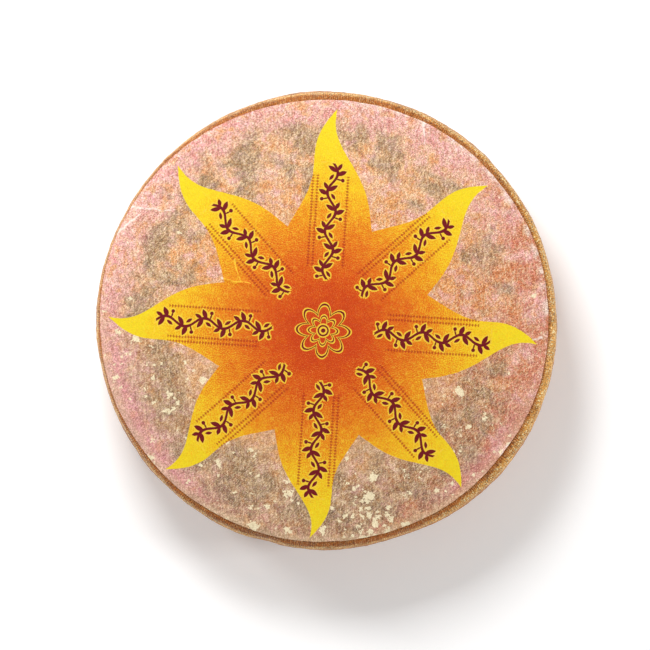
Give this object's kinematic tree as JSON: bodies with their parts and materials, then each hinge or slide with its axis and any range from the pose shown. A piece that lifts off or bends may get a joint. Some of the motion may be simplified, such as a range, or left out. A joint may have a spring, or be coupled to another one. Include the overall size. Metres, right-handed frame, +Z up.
{
  "type": "cheese wheel",
  "caption": "Flat round wheel of washed-rind mountain cheese with a gently bulged side, rounded shoulders and a round printed paper label glued over its upper face.",
  "frame": {"origin": "centre of the flat lower face, on the surface that the wheel lies on", "axes": "+Z up through the wheel's axis, towards the labelled face; +Y towards the label's twelve o'clock"},
  "size_m": [0.3005, 0.2995, 0.0807],
  "materials": {
    "rind": "moist, glossy washed rind with a cloth imprint",
    "label_paper": "thin tissue paper, glued down damp, with a printed sunburst"
  },
  "bodies": {
    "root": {"cheese_wheel": "rind", "paper_label": "label_paper"}
  },
  "joints": []
}
